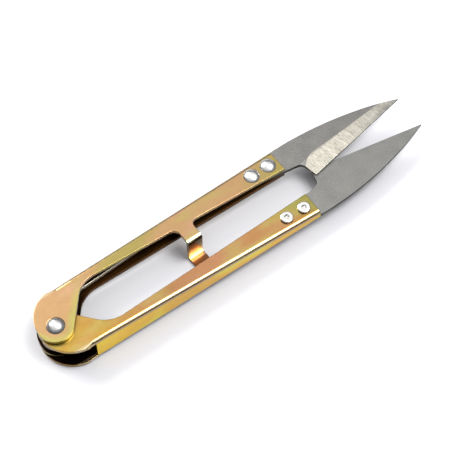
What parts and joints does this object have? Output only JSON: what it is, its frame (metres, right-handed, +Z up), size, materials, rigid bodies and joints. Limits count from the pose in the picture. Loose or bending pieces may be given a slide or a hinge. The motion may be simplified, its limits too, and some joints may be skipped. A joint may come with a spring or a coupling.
{
  "type": "thread snips",
  "caption": "Spring-open thread snips: two folded sheet-steel handles turning on a hinge rivet, each with a pointed ground blade riveted into its front end.",
  "frame": {"origin": "on the hinge axis, in the plane the open snips rest on: the flat underside of the hinge rivet", "axes": "+X runs forward from the hinge between the open blades to their tips, +Y points to the handle whose ears lie on top, +Z is up along the hinge axis"},
  "size_m": [0.1054, 0.0204, 0.0097],
  "materials": {
    "yellow_zinc": "sheet steel, zinc plated and yellow passivated, satin with pink and green casts",
    "blade_steel": "matte grey hardened steel with a bright ground bevel",
    "rivet_steel": "bright nickel plated",
    "spring_wire": "drawn spring wire, satin"
  },
  "bodies": {
    "lower_half": {"lower_handle": "yellow_zinc", "lower_blade": "blade_steel", "lower_front_rivet": "rivet_steel", "lower_rear_rivet": "rivet_steel", "hinge_rivet": "rivet_steel", "torsion_spring": "spring_wire"},
    "upper_half": {"upper_handle": "yellow_zinc", "upper_blade": "blade_steel", "upper_front_rivet": "rivet_steel", "upper_rear_rivet": "rivet_steel"}
  },
  "joints": [
    {"name": "hinge", "type": "hinge", "parent": "lower_half", "child": "upper_half", "pos_m": [0, 0, 0.00442], "axis": [0, 0, -1], "range_deg": [0, 5.5], "stiffness_Nm_per_rad": 0.35, "deforming": ["torsion_spring"]}
  ]
}
